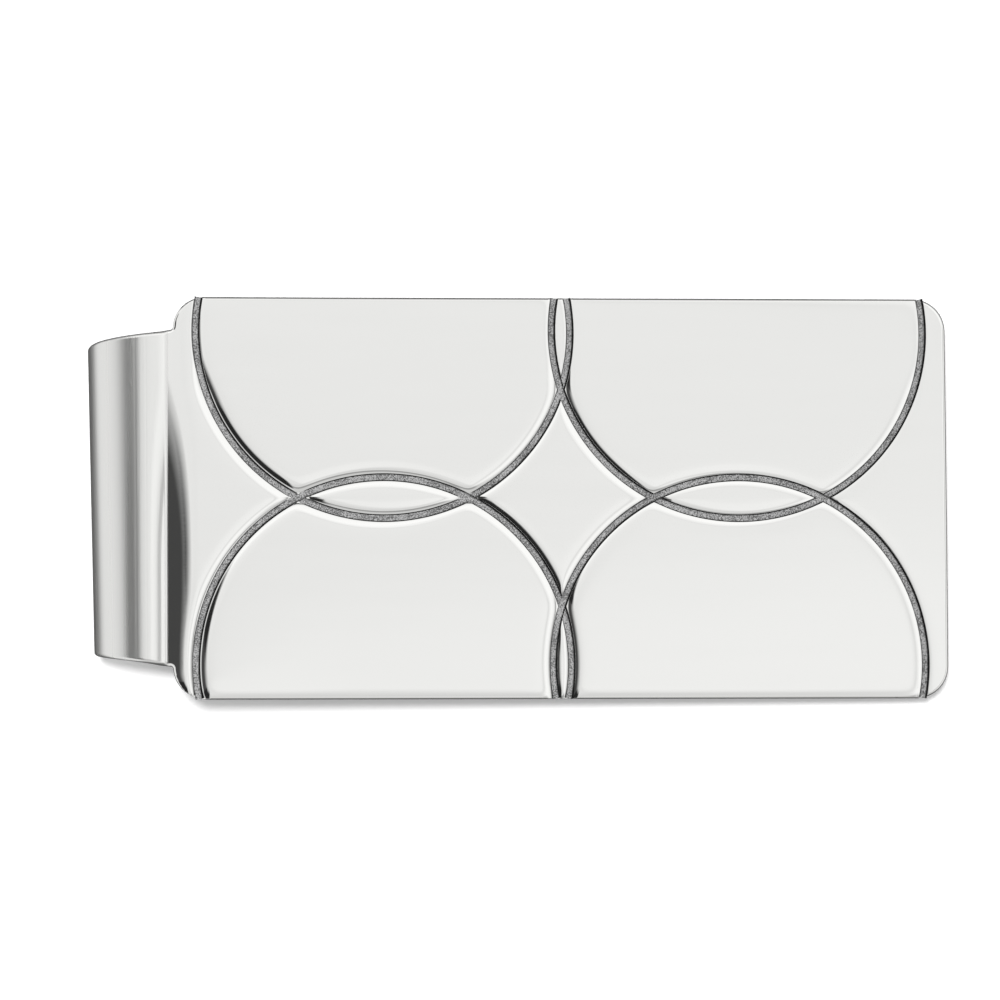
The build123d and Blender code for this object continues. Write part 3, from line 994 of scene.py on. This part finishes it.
def studio_world():
    """A white studio with one dark panel, painted on the sky: six brightness ramps by lean, mixed
    by compass direction. Matt surfaces get an even white sky instead, and the camera a plain
    white backdrop."""
    world = bpy.data.worlds.new("white_studio")
    world.use_nodes = True
    tree = world.node_tree
    tree.nodes.clear()
    way = add(tree, "TexCoord").outputs["Generated"]
    parts = add(tree, "SeparateXYZ", {0: way})
    over = add(tree, "Math", {0: parts.outputs["Z"]}, operation="ADD")
    over.inputs[1].default_value = 1.0001  # a little over 1, so that straight down divides too
    flat = add(tree, "CombineXYZ", {"X": parts.outputs["X"], "Y": parts.outputs["Y"]})
    level = add(tree, "VectorMath", {0: flat.outputs[0]}, operation="LENGTH").outputs["Value"]
    lean = add(tree, "Math", {0: level, 1: over.outputs[0]}, operation="DIVIDE")
    share = add(tree, "MapRange", {"Value": lean.outputs[0]}, From_Max=RAMP_REACH)
    facing = add(tree, "VectorMath", {0: flat.outputs[0]}, operation="NORMALIZE")

    def ramp(stops):
        node = add(tree, "ValToRGB", {0: share.outputs[0]})
        elements = node.color_ramp.elements
        while len(elements) > 1:
            elements.remove(elements[0])
        for count, (position, value) in enumerate(stops):
            element = elements[0] if count == 0 else elements.new(position / RAMP_REACH)
            element.position = position / RAMP_REACH
            element.color = (*[value * RAMP_SCALE] * 3, 1)
        return node.outputs["Color"]

    colour_now = ramp(UPPER_SIDE)
    for stops, degrees, first, last in SIDES:
        compass = math.radians(degrees)
        toward = add(tree, "VectorMath", {0: facing.outputs[0]}, operation="DOT_PRODUCT")
        toward.inputs[1].default_value = (math.cos(compass), math.sin(compass), 0)
        weight = add(
            tree, "MapRange", {"Value": toward.outputs["Value"]},
            interpolation_type="SMOOTHSTEP", From_Min=first, From_Max=last,
        )  # fmt: skip
        mix = add(tree, "Mix", {"Factor": weight.outputs[0]}, data_type="RGBA")
        tree.links.new(colour_now, mix.inputs[6])
        tree.links.new(ramp(stops), mix.inputs[7])
        colour_now = mix.outputs[2]

    mirrored = add(tree, "Background", {"Color": colour_now}, Strength=1 / RAMP_SCALE)
    even, paper = (
        add(tree, "Background", Color=(1, 1, 1, 1), Strength=strength) for strength in (0.55, 1.0)
    )
    ray, shown = add(tree, "LightPath"), even
    for kind, background in (("Is Glossy Ray", mirrored), ("Is Camera Ray", paper)):
        choice = {0: ray.outputs[kind], 1: shown.outputs[0], 2: background.outputs[0]}
        shown = add(tree, "MixShader", choice)
    add(tree, "OutputWorld", {"Surface": shown.outputs[0]})
    bpy.context.scene.world = world


class CLIP_OT_stage(bpy.types.Operator):
    """Builds the pale floor, the studio light and the camera above the clip"""

    bl_idname = "money_clip.stage"
    bl_label = "Stage"

    def execute(self, context):
        scene = context.scene
        stage = scene.clip_stage
        studio_world()
        scene.view_settings.view_transform = "Standard"

        reach = stage.floor_size / 2
        x, y = np.meshgrid(np.linspace(-reach, reach, 3), np.linspace(-reach, reach, 3))
        points = np.stack([x, y, 0 * x - FLOOR_DROP], -1)
        i, j = np.meshgrid(np.arange(2), np.arange(2), indexing="ij")
        quads = np.stack([i * 3 + j, i * 3 + j + 1, i * 3 + j + 4, i * 3 + j + 3], -1)
        paper = paper_floor("backdrop_paper_matt", scene.clip_finish)
        floor = make_piece("floor", points, quads.reshape(-1, 4).tolist(), paper)
        floor.visible_glossy = False

        light = bpy.data.lights.new("soft_overhead", "AREA")
        light.shape, light.size, light.energy = "DISK", stage.light_size, stage.light_power
        overhead = bpy.data.objects.new("soft_overhead", light)
        overhead.location = LIGHT_PLACE
        aim = -overhead.location
        overhead.rotation_euler = aim.to_track_quat("-Z", "Y").to_euler()
        overhead.visible_glossy = False
        context.collection.objects.link(overhead)

        lens = bpy.data.cameras.new("camera")
        lens.sensor_width = 36
        lens.lens = lens.sensor_width * stage.camera_distance / stage.view_width
        camera = bpy.data.objects.new("camera", lens)
        lean, roll = stage.camera_lean, stage.camera_roll
        back = Vector((0, -math.sin(lean), math.cos(lean)))
        right, up = Vector((1, 0, 0)), Vector((0, math.cos(lean), math.sin(lean)))
        across = right * math.cos(roll) + up * math.sin(roll)
        upward = up * math.cos(roll) - right * math.sin(roll)
        face = frame["record"]["mounts"][0]["pos_m"]
        target = Vector((stage.view_x, stage.view_y, face[2]))
        spot = target + back * stage.camera_distance
        camera.matrix_world = Matrix(
            [[across[n], upward[n], back[n], spot[n]] for n in range(3)] + [[0, 0, 0, 1]]
        )
        lens.clip_start, lens.clip_end = 0.01, 10
        context.collection.objects.link(camera)
        scene.camera = camera
        return {"FINISHED"}


class CLIP_PT_panel(bpy.types.Panel):
    """Lists the clip's pieces, sizes and colours"""

    bl_idname = "CLIP_PT_panel"
    bl_label = "Money Clip"
    bl_space_type = "VIEW_3D"
    bl_region_type = "UI"
    bl_category = "Money Clip"

    def draw(self, context):
        layout = self.layout
        for operator in OPERATORS:
            layout.operator(operator.bl_idname)
        for attribute, group in GROUPS.items():
            box = layout.box()
            box.label(text=group.__doc__)
            for name in group.__annotations__:
                box.prop(getattr(context.scene, attribute), name)


GROUPS = {
    "clip_strip": ClipStrip,
    "clip_engraving": ClipEngraving,
    "clip_finish": ClipFinish,
    "clip_stage": ClipStage,
}
OPERATORS = (
    CLIP_OT_stage, CLIP_OT_face_plate, CLIP_OT_spring_fold, CLIP_OT_back_leaf,
    CLIP_OT_groove_finish,
)  # fmt: skip
CLASSES = (*GROUPS.values(), *OPERATORS, CLIP_PT_panel)


def register():
    for each in CLASSES:
        bpy.utils.register_class(each)
    for attribute, group in GROUPS.items():
        setattr(bpy.types.Scene, attribute, bpy.props.PointerProperty(type=group))


def unregister():
    for attribute in GROUPS:
        delattr(bpy.types.Scene, attribute)
    for each in reversed(CLASSES):
        bpy.utils.unregister_class(each)


def main():
    """Registers the add-on, and builds the stage and every piece."""
    register()
    bpy.ops.money_clip.stage()
    bpy.ops.money_clip.face_plate()
    bpy.ops.money_clip.spring_fold()
    bpy.ops.money_clip.back_leaf()
    bpy.ops.money_clip.groove_finish()


if __name__ == "__main__":
    main()
